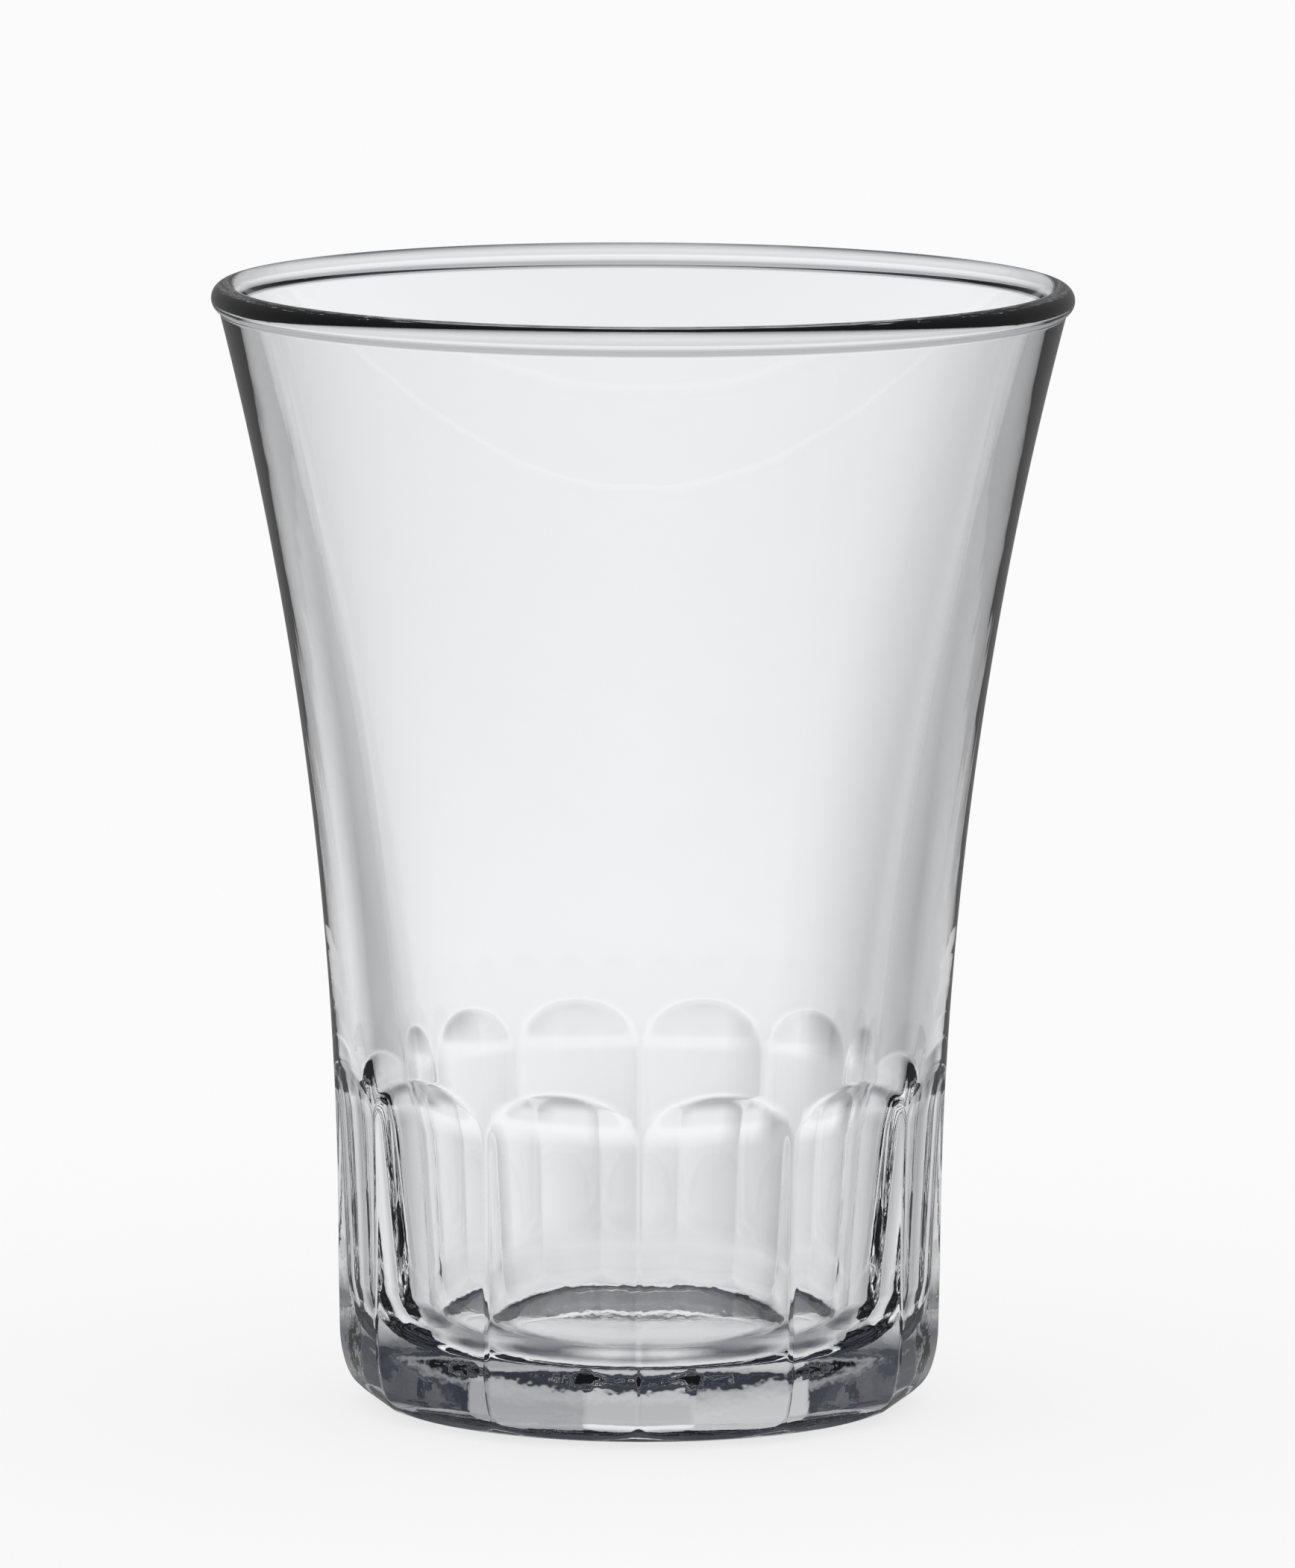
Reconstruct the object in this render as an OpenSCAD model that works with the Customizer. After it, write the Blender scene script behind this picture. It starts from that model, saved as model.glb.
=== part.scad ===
// Pressed juice glass: a flared tumbler whose foot is cut with flat, arch-topped flutes.
// Millimetres, +Z up. The origin is the centre of the foot on the table.

/* [Overall size] */
// Height from the table to the crest of the rim
glass_h = 105.2; // [96:0.1:120]
// Outside diameter over the bead at the rim
rim_d = 80.3; // [74:0.1:90]
// Outside diameter of the foot where it is widest, measured over the arrises between the flutes
foot_d = 56.4; // [52:0.1:60]

/* [Outer wall] */
// Height at which the foot begins to flare out towards the rim
flare_z = 13.4; // [11:0.1:24]
// Radius of the bead that rounds off the rim, which is also half the wall there
bead_r = 1.35; // [1.1:0.05:1.7]
// How far the bead stands proud of the outer wall
bead_proud = 0.45; // [0.2:0.05:0.7]

/* [Foot] */
// Angle in degrees at which the foot leans inwards below the flare
foot_lean = 1.15; // [0:0.05:3]
// Height at which the side begins to curve in towards the table
tuck_z = 6.8; // [6:0.1:9]
// Radius of that first, slow curve
tuck_r = 12; // [10:0.5:30]
// Height at which the curve tightens into the heel
heel_z = 3.2; // [2.6:0.1:4]
// Radius of the heel
heel_r = 4.8; // [4.4:0.1:7]
// Angle in degrees off the vertical at which the heel's curve ends and runs straight on to the table
toe_lean = 55; // [50:1:62]
// Height of the crease where the side ends and the rounded underside begins
crease_z = 1.9; // [1:0.1:2.4]
// Radius of the rounded underside, from the crease to the table
underside_r = 6.6; // [5:0.1:8]
// Width of the flat ring that touches the table
ring_w = 3.1; // [2:0.1:5]
// Depth at its centre of the hollow inside that ring
hollow_h = 0.5; // [0.2:0.1:2]

/* [Inside] */
// Thickness of the glass below the inside floor
floor_t = 6.2; // [5:0.1:10]
// Thickness of the wall at the foot, at the height of the inside floor
wall_t = 8.4; // [6:0.1:10]
// Height at which the inside's straight taper ends and its flare begins
mid_z = 40; // [34:0.5:50]
// Thickness of the wall at that height
mid_t = 5.7; // [4.5:0.1:7]
// Radius of the round corner between the inside floor and the wall
corner_r = 6; // [3:0.1:8]

/* [Flutes] */
// Number of flutes round the foot
flute_n = 12; // [10:1:16]
// Height of the top of each flute's arch
flute_h = 33.2; // [28:0.1:44]
// Height of the arch alone, from where it springs to its top
arch_h = 5; // [3:0.1:8]
// Width of the arris left standing between two flutes
arris_w = 0.5; // [0.3:0.05:1.2]

/* [Hidden] */

// How many straight steps stand for each curve
flare_steps = 12;
tuck_steps = 4;
heel_steps = 3;
bead_steps = 12;
round_steps = 6;
flute_steps = 5;
arch_steps = 6;
$fn = 96;

// Overrun of the flute cutters past the outside of the glass
overrun = 5;
// How far up its arch a cutter runs, as a share of the arch: past 1 it is clear of the wall
run_out_share = 1.25;

rim_r = rim_d / 2;
foot_r = foot_d / 2;

// How far an arc falls away from its tangent line, at a distance along that line
function fall(arc_r, run) = arc_r - sqrt(arc_r * arc_r - run * run);
// Radius of the arc that starts along a line and leaves it by `rise` after `run`
function arc_through(run, rise) = (run * run + rise * rise) / (2 * rise);
// Slope, in degrees off the vertical, that an arc has after a drop, and how far in it has turned by then
function slope_after(arc_r, slope, drop) = asin(min(sin(slope) + drop / arc_r, 1));
function turn_in(arc_r, slope, drop) = arc_r * (cos(slope) - cos(slope_after(arc_r, slope, drop)));

// The bead is a circle in the section
bead_x = rim_r - bead_r;
bead_z = glass_h - bead_r;

// The outer wall flares on one arc that reaches the bead at the height of its centre
flare_run = bead_z - flare_z;
flare_rise = rim_r - bead_proud - foot_r;
flare_r = arc_through(flare_run, flare_rise);
// Below the flare it leans in, then curves in on the tuck's arc and on the heel's, and ends in a straight toe
heel_slope = slope_after(tuck_r, foot_lean, tuck_z - heel_z);
toe_z = heel_z - heel_r * (sin(toe_lean) - sin(heel_slope));
tuck_x = foot_r - (flare_z - tuck_z) * tan(foot_lean);
heel_x = tuck_x - turn_in(tuck_r, foot_lean, tuck_z - heel_z);
toe_x = heel_x - turn_in(heel_r, heel_slope, heel_z - toe_z);
function wall_x(z) =
    z < toe_z ? toe_x - (toe_z - z) * tan(toe_lean)
    : z < heel_z ? heel_x - turn_in(heel_r, heel_slope, heel_z - z)
    : z < tuck_z ? tuck_x - turn_in(tuck_r, foot_lean, tuck_z - z)
    : z < flare_z ? foot_r - (flare_z - z) * tan(foot_lean)
    : foot_r + fall(flare_r, z - flare_z);

// Where the bead's circle crosses the outer wall, taken as straight so near the rim
lean = tan(2 * atan(flare_rise / flare_run));
inset = bead_r - bead_proud;
lean_factor = 1 + lean * lean;
cross_drop = (inset * lean + sqrt(pow(inset * lean, 2) + lean_factor * (bead_r * bead_r - inset * inset)))
    / lean_factor;
bead_start = -asin(cross_drop / bead_r);

// The inside tapers straight from the floor to mid_z
bore_r = foot_r - wall_t;
mid_r = wall_x(mid_z) - mid_t;
taper = atan((mid_r - bore_r) / (mid_z - floor_t));
// From there it flares on the arc that leaves the taper smoothly and runs smoothly into the bead
mid_to_bead = [mid_r - bead_x, mid_z - bead_z];
bore_arc_r = (bead_r * bead_r - mid_to_bead * mid_to_bead)
    / (2 * (mid_to_bead * [cos(taper), -sin(taper)] + bead_r));
bore_arc_x = mid_r + bore_arc_r * cos(taper);
bore_arc_z = mid_z - bore_arc_r * sin(taper);
bore_lean = atan2(bead_z - bore_arc_z, bore_arc_x - bead_x);
bead_end = 180 - bore_lean;
// The corner's arc touches both the taper and the floor
corner_z = floor_t + corner_r;
corner_x = bore_r + corner_r * ((1 - sin(taper)) * tan(taper) - cos(taper));

// The underside rolls from the crease down to the ring that touches the table
roll_end = acos((underside_r - crease_z) / underside_r);
ring_r = wall_x(crease_z) - underside_r * sin(roll_end);
hollow_r = ring_r - ring_w;
hollow_arc_r = arc_through(hollow_r, hollow_h);

// Each flute spans the half angle that leaves an arris on either side
flute_half = 180 / flute_n - asin(arris_w / 2 / foot_r);
spring_z = flute_h - arch_h;
// Distance of a flute's face from the axis: flat below the spring, running out above it
function flute_x(z) =
    wall_x(z) * (1 - (1 - cos(flute_half)) * (1 - pow(max(z - spring_z, 0) / arch_h, 2)));

// Values that follow one another from low to high
function between(low, high, steps) = [for (i = [0 : steps]) low + (high - low) * i / steps];
function after_first(values) = [for (i = [1 : len(values) - 1]) values[i]];

// Heights up the outside. Below the crease only the flutes follow the heel's curve
toe_levels = between(toe_z, crease_z, heel_steps);
heel_levels = between(crease_z, heel_z, heel_steps);
tuck_levels = between(heel_z, tuck_z, tuck_steps);
flare_levels = between(flare_z, bead_z - cross_drop, flare_steps);
// A flute's levels aren't the wall's, so its edges cross those of the wall cleanly
flute_levels = between(tuck_z, spring_z, flute_steps);
arch_levels = between(spring_z, spring_z + arch_h * run_out_share, arch_steps);

hollow_outline = [for (x = between(0, hollow_r, round_steps)) [x, hollow_h - fall(hollow_arc_r, x)]];
underside_outline = [for (a = between(0, roll_end, round_steps))
    [ring_r + underside_r * sin(a), underside_r * (1 - cos(a))]];
side_levels = concat(after_first(heel_levels), after_first(tuck_levels));
side_outline = [for (z = concat(side_levels, flare_levels)) [wall_x(z), z]];
bead_outline = [for (i = [1 : bead_steps]) let (a = bead_start + (bead_end - bead_start) * i / bead_steps)
    [bead_x + bead_r * cos(a), bead_z + bead_r * sin(a)]];
bore_outline = [for (a = after_first(between(bore_lean, taper, flare_steps)))
    [bore_arc_x - bore_arc_r * cos(a), bore_arc_z + bore_arc_r * sin(a)]];
corner_outline = [for (a = between(taper, 90, round_steps))
    [corner_x + corner_r * cos(a), corner_z - corner_r * sin(a)]];

// The section of the glass before its flutes are cut, from the axis out and back
module section() {
    polygon(concat(
        hollow_outline,
        underside_outline,
        side_outline,
        bead_outline,
        bore_outline,
        corner_outline,
        [[0, floor_t]]));
}

// One cutter: everything outside a flute's face, as wide as the sector it cuts
module flute_cutter() {
    flat_levels = concat(toe_levels, side_levels, after_first(flute_levels));
    face_levels = concat([-overrun], flat_levels, after_first(arch_levels));
    face = [for (z = face_levels) [flute_x(z), z]];
    outside_x = rim_r + overrun;
    top_z = arch_levels[arch_steps];
    rotate([90, 0, 0])
        linear_extrude(height = foot_d, center = true)
            polygon(concat(face, [[outside_x, top_z], [outside_x, -overrun]]));
}

module tumbler() {
    color([0.86, 0.90, 0.91, 0.45])
        difference() {
            rotate_extrude() section();
            for (i = [0 : flute_n - 1])
                rotate((i + 0.5) * 360 / flute_n - 90)
                    flute_cutter();
        }
}

tumbler();
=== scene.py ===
"""Looks of the pressed juice glass: one clear tumbler with flutes round its foot, on a pale floor."""

import math

import bpy
import numpy as np
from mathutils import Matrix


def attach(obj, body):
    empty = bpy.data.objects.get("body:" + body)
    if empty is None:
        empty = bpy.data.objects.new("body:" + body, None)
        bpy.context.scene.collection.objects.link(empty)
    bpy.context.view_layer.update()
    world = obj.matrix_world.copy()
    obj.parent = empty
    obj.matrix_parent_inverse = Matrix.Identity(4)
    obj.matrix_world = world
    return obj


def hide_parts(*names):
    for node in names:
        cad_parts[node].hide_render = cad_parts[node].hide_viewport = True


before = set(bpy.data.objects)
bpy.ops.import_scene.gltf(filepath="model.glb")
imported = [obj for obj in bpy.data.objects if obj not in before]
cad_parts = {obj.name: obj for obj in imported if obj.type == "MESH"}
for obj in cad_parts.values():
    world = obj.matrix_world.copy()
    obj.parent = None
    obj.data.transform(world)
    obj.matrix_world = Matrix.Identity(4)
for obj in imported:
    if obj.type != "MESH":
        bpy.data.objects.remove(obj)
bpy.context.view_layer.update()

MM = 0.001

# Sizes of the glass in millimetres, the same values that the CAD model is built from
GLASS_H = 105.2
RIM_R = 80.3 / 2
FOOT_R = 56.4 / 2
FLARE_Z = 13.4
BEAD_R = 1.35
BEAD_PROUD = 0.45
FOOT_LEAN = math.radians(1.15)
TUCK_Z = 6.8
TUCK_R = 12.0
HEEL_Z = 3.2
HEEL_R = 4.8
TOE_LEAN = math.radians(55)
CREASE_Z = 1.9
UNDERSIDE_R = 6.6
RING_W = 3.1
HOLLOW_H = 0.5
FLOOR_T = 6.2
WALL_T = 8.4
MID_Z = 40.0
MID_T = 5.7
CORNER_R = 6.0
FLUTE_N = 12
FLUTE_H = 33.2
ARCH_H = 5.0
ARRIS_W = 0.5

# How far the fire-polished edges are rounded, as the blend between two surfaces
ARRIS_BLEND = 0.03
ARCH_BLEND = 0.10
BEAD_BLEND = 0.20
CREASE_BLEND = 0.03
# The blend widens from the arrises to the arches over this much height, starting this far below the spring
BLEND_RUN = 3.0
BLEND_LEAD = 2.0

# Radius of the innermost ring of the skin, round its two middle points
CENTRE_R = 0.6
# Half of the angle, in radians, over which the skin's columns stand close together at an arris
ARRIS_NEAR = math.radians(1.5)

# The colour and the refraction of clear soda-lime glass
GLASS_COLOR = (0.998, 0.9985, 0.999, 1)
GLASS_IOR = 1.52

# The mould's ripple in the glass, as noise per metre, depth in metres and the two heights between which it
# dies out: a slow wave up to the polished rim, and a finer one that stays in the foot
RIPPLES = [
    (90, 0.00002, (0.094, 0.102)),
    (500, 0.00002, (0.008, 0.024)),
]

# The floor, in metres, and how much of its white comes from light that the glass can shade
FLOOR_R = 3.0
FLOOR_DROP = 0.0001
FLOOR_SHADE = 0.25

# The camera's lens and sensor in millimetres, its place in metres, and how far it looks down and leans to
# one side, in radians
LENS = 341.66
SENSOR_H = 36
CAMERA_PLACE = (0.00059, -1.37665, 0.24525)
CAMERA_DIP = 0.135
CAMERA_LEAN = 0.004

# The even grey that the outside of the glass mirrors
MIRROR_LEVEL = 0.2

# The faint blue that the studio adds to every grey
COOL = 0.02

# How often light may turn on its way. It is lost after some reflections inside the glass, so the long ways
# along the wall go dark
BOUNCES = 32
REFLECTIONS = 9

# The studio that the glass shows: heights in degrees above the horizon, each with grey levels round the
# compass in degrees, where 0 is straight behind the glass and 90 is to its right. It is bright low down and
# behind the glass, and dark above the horizon, which gives the glass its outlines
STUDIO = [
    (-85, [(-180, 0.70), (0, 0.70), (180, 0.70)]),
    (-65, [(-180, 0.30), (-60, 0.12), (-20, 0.28), (0, 0.38), (20, 0.28), (60, 0.12), (180, 0.30)]),
    (-45, [(-180, 0.40), (-80, 0.30), (-60, 0.12), (-38, 0.10), (-20, 0.42), (0, 0.64), (20, 0.42),
           (38, 0.10), (60, 0.12), (80, 0.30), (180, 0.40)]),
    (-26, [(-180, 0.80), (-90, 0.76), (-60, 0.66), (-38, 0.60), (-16, 0.82), (0, 0.82), (16, 0.78),
           (38, 0.56), (60, 0.66), (90, 0.76), (180, 0.80)]),
    (-17, [(-180, 0.92), (-90, 0.84), (-60, 0.58), (-38, 0.38), (-20, 0.84), (0, 0.76), (20, 0.60),
           (38, 0.38), (60, 0.58), (90, 0.84), (180, 0.92)]),
    (-15, [(-180, 0.92), (-90, 0.84), (-60, 0.62), (-38, 0.45), (-20, 0.88), (0, 0.73), (20, 0.58),
           (38, 0.45), (60, 0.62), (90, 0.84), (180, 0.92)]),
    (-10, [(-180, 0.88), (-90, 0.88), (-60, 0.72), (-38, 0.66), (-21, 0.98), (-6, 0.98), (6, 0.97),
           (20, 0.44), (38, 0.60), (60, 0.72), (90, 0.88), (180, 0.88)]),
    (-9, [(-180, 0.88), (-90, 0.88), (-60, 0.72), (-38, 0.64), (-21, 0.95), (-6, 0.98), (6, 0.97),
          (20, 0.42), (38, 0.58), (60, 0.72), (90, 0.88), (180, 0.88)]),
    (-7.8, [(-180, 0.87), (-90, 0.87), (-60, 0.70), (-38, 0.60), (-20, 0.76), (-6, 0.90), (6, 0.89),
            (20, 0.38), (38, 0.54), (60, 0.70), (90, 0.87), (180, 0.87)]),
    (-3, [(-180, 0.85), (-90, 0.85), (-60, 0.66), (-38, 0.50), (-20, 0.40), (-6, 0.86), (6, 0.86),
          (20, 0.25), (38, 0.46), (60, 0.66), (90, 0.85), (180, 0.85)]),
    (5, [(-180, 0.35), (-60, 0.10), (-34, 0.03), (-26, 0.58), (-13, 0.58), (-6, 0.52), (6, 0.48),
         (13, 0.38), (26, 0.38), (32, 0.02), (60, 0.05), (180, 0.35)]),
    (13, [(-180, 0.30), (-60, 0.10), (-34, 0.03), (-26, 0.58), (-13, 0.58), (-6, 0.52), (6, 0.48),
          (13, 0.38), (26, 0.38), (32, 0.02), (60, 0.05), (180, 0.30)]),
    (17, [(-180, 0.25), (-60, 0.20), (-30, 0.45), (0, 0.58), (30, 0.40), (60, 0.20), (180, 0.25)]),
    (21, [(-180, 0.20), (-60, 0.15), (-30, 0.35), (0, 0.55), (30, 0.35), (60, 0.15), (180, 0.20)]),
    (24, [(-180, 0.12), (-38, 0.03), (0, 0.05), (38, 0.03), (180, 0.12)]),
    (48, [(-180, 0.02), (0, 0.02), (180, 0.02)]),
]


def fall(arc_r, run):
    """How far an arc falls away from its tangent line."""
    return arc_r - np.sqrt(arc_r * arc_r - run * run)


def arc_through(run, rise):
    """Radius of the arc that leaves a line by rise after run."""
    return (run * run + rise * rise) / (2 * rise)


BEAD_X = RIM_R - BEAD_R
BEAD_Z = GLASS_H - BEAD_R
FLARE_R = arc_through(BEAD_Z - FLARE_Z, RIM_R - BEAD_PROUD - FOOT_R)
FLUTE_HALF = math.pi / FLUTE_N - math.asin(ARRIS_W / 2 / FOOT_R)
SPRING_Z = FLUTE_H - ARCH_H


def soft_min(a, b, width):
    """The smaller of two surfaces, with the edge between them rounded over."""
    h = np.maximum(width - np.abs(a - b), 0) / width
    return np.minimum(a, b) - h * h * width / 4


def turn_in(z, top, low, arc_r, lean):
    """How far an arc turns inwards below its top. Lean is the sine of its slope there."""
    sine = lean + np.clip(top - z, 0, top - low) / arc_r
    return arc_r * (math.sqrt(1 - lean * lean) - np.sqrt(1 - sine * sine))


# The slopes and heights at which the foot's arcs follow one another, down to the straight toe
HEEL_SINE = math.sin(FOOT_LEAN) + (TUCK_Z - HEEL_Z) / TUCK_R
TOE_Z = HEEL_Z - HEEL_R * (math.sin(TOE_LEAN) - HEEL_SINE)


def wall_x(z):
    """Radius of the outer wall before its flutes are cut."""
    flare = fall(FLARE_R, np.clip(z - FLARE_Z, 0, GLASS_H))
    taper = math.tan(FOOT_LEAN) * np.clip(FLARE_Z - z, 0, FLARE_Z - TUCK_Z)
    tuck = turn_in(z, TUCK_Z, HEEL_Z, TUCK_R, math.sin(FOOT_LEAN))
    heel = turn_in(z, HEEL_Z, TOE_Z, HEEL_R, HEEL_SINE)
    toe = math.tan(TOE_LEAN) * np.clip(TOE_Z - z, 0, TOE_Z)
    return FOOT_R + flare - taper - tuck - heel - toe


# The bore rises from the floor along a straight taper, then flares along an arc that runs into the bead
BORE_R = FOOT_R - WALL_T
MID_R = float(wall_x(MID_Z)) - MID_T
TAPER = math.atan((MID_R - BORE_R) / (MID_Z - FLOOR_T))
BEAD_TO_MID_X = MID_R - BEAD_X
BEAD_TO_MID_Z = MID_Z - BEAD_Z
BORE_ARC_R = (BEAD_R**2 - BEAD_TO_MID_X**2 - BEAD_TO_MID_Z**2) / (
    2 * (BEAD_TO_MID_X * math.cos(TAPER) - BEAD_TO_MID_Z * math.sin(TAPER) + BEAD_R))
BORE_ARC_X = MID_R + BORE_ARC_R * math.cos(TAPER)
BORE_ARC_Z = MID_Z - BORE_ARC_R * math.sin(TAPER)
BORE_LEAN = math.atan2(BEAD_Z - BORE_ARC_Z, BORE_ARC_X - BEAD_X)
CORNER_X = BORE_R + (CORNER_R * (1 - math.sin(TAPER))) * math.tan(TAPER) - CORNER_R * math.cos(TAPER)

RING_R = float(wall_x(CREASE_Z)) - math.sqrt(UNDERSIDE_R**2 - (UNDERSIDE_R - CREASE_Z) ** 2)
HOLLOW_R = RING_R - RING_W


def underside_x(z):
    """Radius of the rounded underside, where it lies inside the wall."""
    return RING_R + np.sqrt(np.clip(UNDERSIDE_R**2 - (UNDERSIDE_R - z) ** 2, 0, None))


def outer_x(phi, z):
    """Radius of the finished outside at an angle round the axis and a height."""
    wall = wall_x(z)
    sector = 2 * math.pi / FLUTE_N
    off = (phi % sector) - sector / 2
    run_out = np.clip((z - SPRING_Z) / ARCH_H, 0, None) ** 2
    face = wall * (1 - (1 - math.cos(FLUTE_HALF)) * (1 - run_out)) / np.cos(off)
    blend = ARRIS_BLEND + (ARCH_BLEND - ARRIS_BLEND) * np.clip((z - SPRING_Z + BLEND_LEAD) / BLEND_RUN, 0, 1)
    side = soft_min(wall, face, blend)
    bead = BEAD_X + np.sqrt(np.clip(BEAD_R**2 - (z - BEAD_Z) ** 2, 0, None))
    bead = np.where(z > BEAD_Z - BEAD_R, bead, 0)
    side = -soft_min(-side, -bead, BEAD_BLEND)
    return np.where(z < UNDERSIDE_R, soft_min(side, underside_x(z), CREASE_BLEND), side)


def flute_angles():
    """Angles round one turn, close together along each arris and wider over each flute."""
    sector = 2 * math.pi / FLUTE_N
    edge = np.linspace(-ARRIS_NEAR, ARRIS_NEAR, 14, endpoint=False)
    face = np.linspace(ARRIS_NEAR, sector - ARRIS_NEAR, 18, endpoint=False)
    one = np.concatenate([edge, face])
    return np.concatenate([one + i * sector for i in range(FLUTE_N)])


def outer_heights():
    """Heights up the outside, close together at the crease, the arches and the bead."""
    low = UNDERSIDE_R * (1 - np.cos(np.linspace(0, math.radians(25), 14, endpoint=False)))
    return np.concatenate([
        low,
        np.linspace(low[-1] + 0.04, CREASE_Z + 0.6, 40, endpoint=False),
        np.linspace(CREASE_Z + 0.6, TUCK_Z, 24, endpoint=False),
        np.linspace(TUCK_Z, SPRING_Z - BLEND_LEAD, 20, endpoint=False),
        np.linspace(SPRING_Z - BLEND_LEAD, FLUTE_H + 0.8, 40, endpoint=False),
        np.linspace(FLUTE_H + 0.8, BEAD_Z - 4, 42, endpoint=False),
        np.linspace(BEAD_Z - 4, BEAD_Z, 26),
    ])


def section_inside():
    """Radius and height of the rings from the widest point of the bead, over it and down to the floor."""
    rings = []
    for a in np.linspace(0, math.pi - BORE_LEAN, 24)[1:]:
        rings.append((BEAD_X + BEAD_R * math.cos(a), BEAD_Z + BEAD_R * math.sin(a)))
    for a in np.linspace(BORE_LEAN, TAPER, 70)[1:]:
        rings.append((BORE_ARC_X - BORE_ARC_R * math.cos(a), BORE_ARC_Z + BORE_ARC_R * math.sin(a)))
    low = (CORNER_X + CORNER_R * math.cos(TAPER), FLOOR_T + CORNER_R * (1 - math.sin(TAPER)))
    for share in np.linspace(0, 1, 20)[1:]:
        rings.append((MID_R + (low[0] - MID_R) * share, MID_Z + (low[1] - MID_Z) * share))
    for a in np.linspace(TAPER, math.pi / 2, 20)[1:]:
        rings.append((CORNER_X + CORNER_R * math.cos(a), FLOOR_T + CORNER_R * (1 - math.sin(a))))
    for x in np.linspace(CORNER_X, CENTRE_R, 24)[1:]:
        rings.append((x, FLOOR_T))
    return rings


def section_under():
    """Radius and height of the rings under the foot, from its centre out to the ring that stands."""
    arc_r = arc_through(HOLLOW_R, HOLLOW_H)
    rings = [(x, HOLLOW_H - float(fall(arc_r, x))) for x in np.linspace(CENTRE_R, HOLLOW_R, 22)]
    rings += [(x, 0.0) for x in np.linspace(HOLLOW_R, RING_R, 6)[1:-1]]
    return rings


def build_glass():
    """The glass as one closed skin of rings, from the middle of the foot out, up, over and in."""
    phi = flute_angles()
    count = len(phi)
    rings = [(np.full(count, x), z) for x, z in section_under()]
    rings += [(outer_x(phi, z), z) for z in outer_heights()]
    rings += [(np.full(count, x), z) for x, z in section_inside()]
    # An arris faces the camera, which looks along +Y
    verts = [np.stack([radius * np.sin(phi), -radius * np.cos(phi), np.full(count, z)], axis=1)
             for radius, z in rings]
    verts = np.concatenate(verts) * MM
    bottom = len(verts)
    top = bottom + 1
    verts = np.concatenate([verts, [[0, 0, HOLLOW_H * MM], [0, 0, FLOOR_T * MM]]])
    faces = []
    last = (len(rings) - 1) * count
    for i in range(count):
        j = (i + 1) % count
        for k in range(len(rings) - 1):
            a = k * count
            faces.append((a + i, a + j, a + count + j, a + count + i))
        faces.append((bottom, j, i))
        faces.append((top, last + i, last + j))
    mesh = bpy.data.meshes.new("tumbler_glass")
    mesh.from_pydata(verts.tolist(), [], faces)
    mesh.polygons.foreach_set("use_smooth", [True] * len(mesh.polygons))
    mesh.update()
    piece = bpy.data.objects.new("tumbler_glass", mesh)
    bpy.context.collection.objects.link(piece)
    return piece


def glass_material():
    """Clear pressed glass: polished by fire, with the mould's faint ripple."""
    mat = bpy.data.materials.new("clear_pressed_glass")
    mat.use_nodes = True
    nodes, links = mat.node_tree.nodes, mat.node_tree.links
    shader = nodes["Principled BSDF"]
    shader.inputs["Base Color"].default_value = GLASS_COLOR
    shader.inputs["Roughness"].default_value = 0.0
    shader.inputs["IOR"].default_value = GLASS_IOR
    shader.inputs["Transmission Weight"].default_value = 1.0

    where = nodes.new("ShaderNodeTexCoord")
    parts = nodes.new("ShaderNodeSeparateXYZ")
    links.new(where.outputs["Object"], parts.inputs["Vector"])
    normal = None
    for scale, depth, (full, none) in RIPPLES:
        share = nodes.new("ShaderNodeMapRange")
        for name, value in (("From Min", full), ("From Max", none), ("To Min", 1), ("To Max", 0)):
            share.inputs[name].default_value = value
        links.new(parts.outputs["Z"], share.inputs["Value"])
        ripple = nodes.new("ShaderNodeTexNoise")
        ripple.inputs["Scale"].default_value = scale
        ripple.inputs["Detail"].default_value = 2
        links.new(where.outputs["Object"], ripple.inputs["Vector"])
        bump = nodes.new("ShaderNodeBump")
        bump.inputs["Distance"].default_value = depth
        links.new(share.outputs["Result"], bump.inputs["Strength"])
        links.new(ripple.outputs["Fac"], bump.inputs["Height"])
        if normal:
            links.new(normal, bump.inputs["Normal"])
        normal = bump.outputs["Normal"]
    links.new(normal, shader.inputs["Normal"])
    return mat


def build_floor():
    """A round pale floor. It takes the glass's soft shadow, and elsewhere it shows plain white."""
    bpy.ops.mesh.primitive_circle_add(
        vertices=96, radius=FLOOR_R, fill_type="NGON", location=(0, 0, -FLOOR_DROP))
    floor = bpy.context.object
    floor.name = "studio_floor"
    mat = bpy.data.materials.new("pale_floor")
    mat.use_nodes = True
    shader = mat.node_tree.nodes["Principled BSDF"]
    shader.inputs["Base Color"].default_value = (FLOOR_SHADE,) * 3 + (1,)
    shader.inputs["Roughness"].default_value = 1.0
    shader.inputs["Specular IOR Level"].default_value = 0.0
    shader.inputs["Emission Color"].default_value = (1, 1, 1, 1)
    shader.inputs["Emission Strength"].default_value = 1 - FLOOR_SHADE
    floor.data.materials.append(mat)
    # The glass shows the studio's own white table instead, which build_world holds
    floor.visible_transmission = False
    floor.visible_glossy = False


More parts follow.
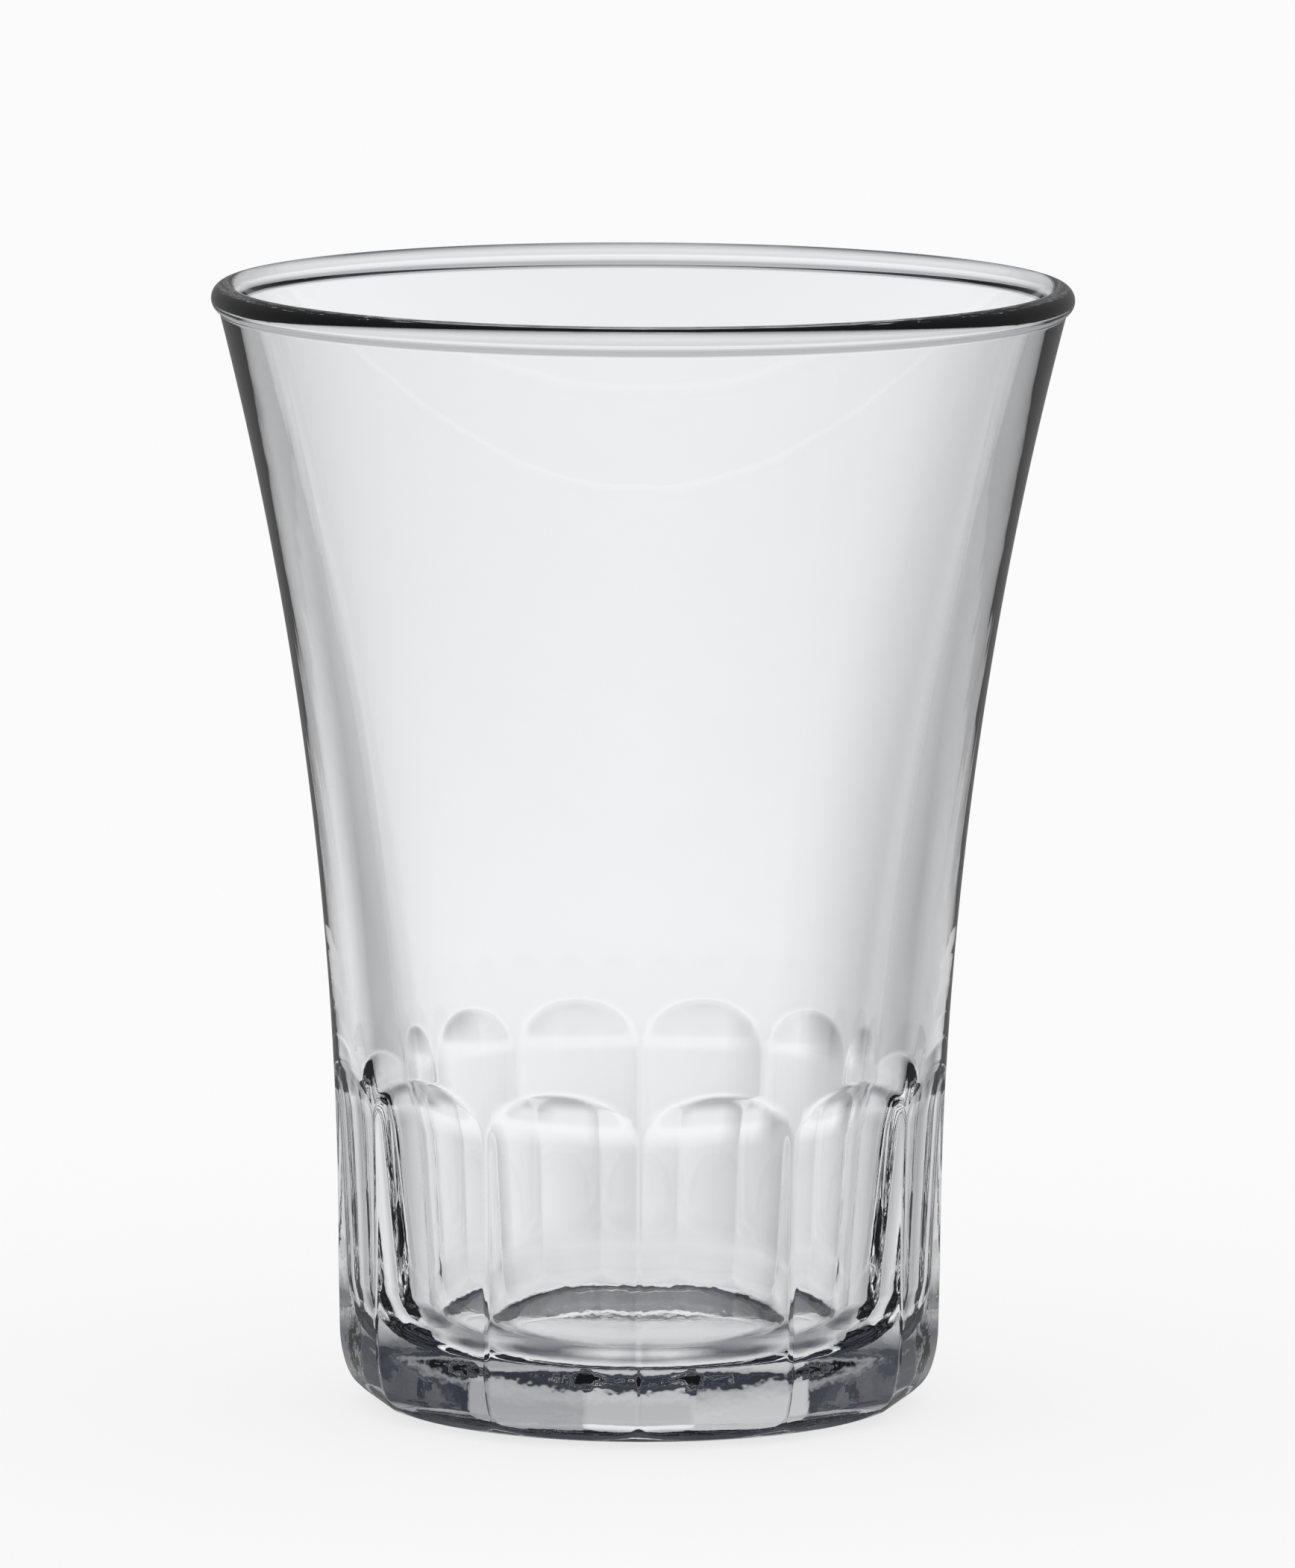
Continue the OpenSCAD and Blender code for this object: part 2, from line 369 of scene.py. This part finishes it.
class Studio:
    """Builds the world's nodes: levels of grey set by compass angle and by height above the horizon."""

    def __init__(self, tree):
        self.nodes, self.links = tree.nodes, tree.links
        where = self.nodes.new("ShaderNodeTexCoord")
        parts = self.nodes.new("ShaderNodeSeparateXYZ")
        self.links.new(where.outputs["Generated"], parts.inputs["Vector"])
        turn = self.math("ARCTAN2", parts.outputs["X"], parts.outputs["Y"])
        self.turn = self.spread(turn, -math.pi, math.pi)
        self.rise = self.math("ARCSINE", parts.outputs["Z"])

    def math(self, operation, first, second=None):
        """One sum or function of one or two values."""
        node = self.nodes.new("ShaderNodeMath")
        node.operation = operation
        for socket, value in zip(node.inputs, (first, second)):
            if isinstance(value, (int, float)):
                socket.default_value = value
            elif value is not None:
                self.links.new(value, socket)
        return node.outputs["Value"]

    def spread(self, value, low, high):
        """Maps a value from its low and high ends to 0 and 1."""
        node = self.nodes.new("ShaderNodeMapRange")
        node.inputs["From Min"].default_value = low
        node.inputs["From Max"].default_value = high
        self.links.new(value, node.inputs["Value"])
        return node.outputs["Result"]

    def ring(self, stops):
        """Grey levels round the compass, as pairs of degrees and level."""
        return self.ramp(self.turn, [((turn + 180) / 360, level) for turn, level in stops])

    def ramp(self, value, stops):
        """Grey levels along a value from 0 to 1."""
        node = self.nodes.new("ShaderNodeValToRGB")
        node.color_ramp.interpolation = "LINEAR"
        elements = node.color_ramp.elements
        elements.remove(elements[-1])
        for i, (place, level) in enumerate(stops):
            element = elements[0] if i == 0 else elements.new(place)
            element.position = place
            element.color = (level, level + COOL / 4, level + COOL, 1)
        self.links.new(value, node.inputs["Fac"])
        return node.outputs["Color"]

    def mix(self, factor, first, second):
        """The first colour where the factor is 0, the second where it is 1."""
        node = self.nodes.new("ShaderNodeMix")
        node.data_type = "RGBA"
        for name, kind, value in (("Factor", "VALUE", factor), ("A", "RGBA", first), ("B", "RGBA", second)):
            # The node has a socket of each name for each kind of value
            socket = [s for s in node.inputs if s.name == name and s.type == kind][0]
            if isinstance(value, tuple):
                socket.default_value = value
            else:
                self.links.new(value, socket)
        return [s for s in node.outputs if s.type == "RGBA"][0]

    def step(self, low, high):
        """0 below a height, 1 above another, in degrees above the horizon."""
        return self.spread(self.rise, math.radians(low), math.radians(high))


def build_world():
    """The studio round the glass: a lit backdrop behind it, a white table below, dark above."""
    world = bpy.data.worlds.new("studio")
    bpy.context.scene.world = world
    world.use_nodes = True
    studio = Studio(world.node_tree)
    height, levels = STUDIO[0]
    room = studio.ring(levels)
    for above, levels in STUDIO[1:]:
        room = studio.mix(studio.step(height, above), room, studio.ring(levels))
        height = above
    path = studio.nodes.new("ShaderNodeLightPath")
    plain = studio.math("MAXIMUM", path.outputs["Is Camera Ray"], path.outputs["Is Diffuse Ray"])
    through = studio.mix(path.outputs["Is Transmission Ray"], (MIRROR_LEVEL,) * 3 + (1,), room)
    seen = studio.mix(plain, through, (1, 1, 1, 1))
    background = studio.nodes["Background"]
    studio.links.new(seen, background.inputs["Color"])


def build_camera():
    """The photograph's viewpoint: a long lens a little above the rim."""
    data = bpy.data.cameras.new("camera")
    data.sensor_fit = "VERTICAL"
    data.sensor_height = SENSOR_H
    data.lens = LENS
    data.clip_start = 0.01
    data.clip_end = 20
    camera = bpy.data.objects.new("camera", data)
    camera.location = CAMERA_PLACE
    # Looks a little down, and leans a little, as the photograph does
    camera.rotation_euler = (math.pi / 2 - CAMERA_DIP, 0, 0)
    camera.rotation_euler.rotate_axis("Z", CAMERA_LEAN)
    bpy.context.collection.objects.link(camera)
    bpy.context.scene.camera = camera


glass = build_glass()
glass.data.materials.append(glass_material())
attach(glass, "root")
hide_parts("tumbler")

build_floor()
build_world()
build_camera()

scene = bpy.context.scene
scene.view_settings.view_transform = "Standard"
scene.cycles.max_bounces = BOUNCES
scene.cycles.transmission_bounces = BOUNCES
scene.cycles.glossy_bounces = REFLECTIONS
